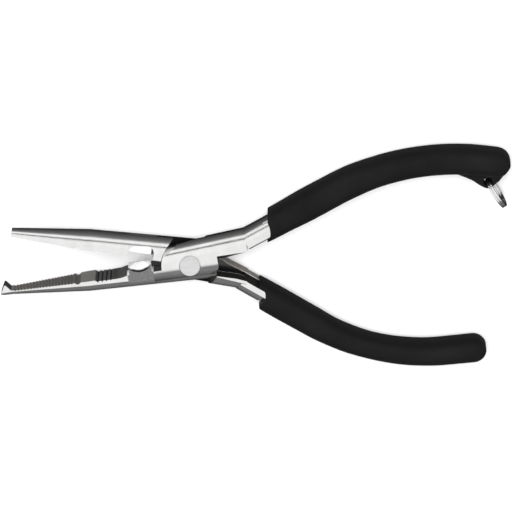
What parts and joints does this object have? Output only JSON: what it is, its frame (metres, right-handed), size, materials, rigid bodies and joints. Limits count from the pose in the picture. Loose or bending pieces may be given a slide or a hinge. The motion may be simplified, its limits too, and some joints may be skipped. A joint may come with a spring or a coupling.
{
  "type": "fishing pliers",
  "caption": "Long-nose fishing pliers with a split-ring tooth, serrated jaws, a bypass side cutter, black dipped grips and a small lanyard ring on one grip.",
  "frame": {"origin": "on the pivot axis, in the plane of the rear rivet head's flat face, which both grips also rest on", "axes": "+Z along the pivot axis towards the front lever, +X from the jaws towards the handles, +Y towards the upper handle with the lanyard ring"},
  "size_m": [0.1751, 0.0789, 0.0126],
  "materials": {
    "lever_steel": "satin ground and polished stainless steel",
    "rivet_steel": "ground flush, light satin",
    "grip_vinyl": "matte dipped vinyl with a faint texture",
    "ring_steel": "bright nickel-plated spring steel"
  },
  "bodies": {
    "front_half": {"front_lever": "lever_steel", "pivot_rivet": "rivet_steel", "upper_grip": "grip_vinyl"},
    "rear_half": {"rear_lever": "lever_steel", "lower_grip": "grip_vinyl"},
    "lanyard_ring": {"split_ring": "ring_steel"}
  },
  "joints": [
    {"name": "jaw_pivot", "type": "hinge", "parent": "front_half", "child": "rear_half", "pos_m": [0, 0, 0.0063], "axis": [0, 0, 1], "range_deg": [-10, 17.8]},
    {"name": "ring_swing", "type": "hinge", "parent": "front_half", "child": "lanyard_ring", "pos_m": [0.10221, 0.02961, 0.0063], "axis": [0, 0, 1], "range_deg": [-60, 30]}
  ]
}
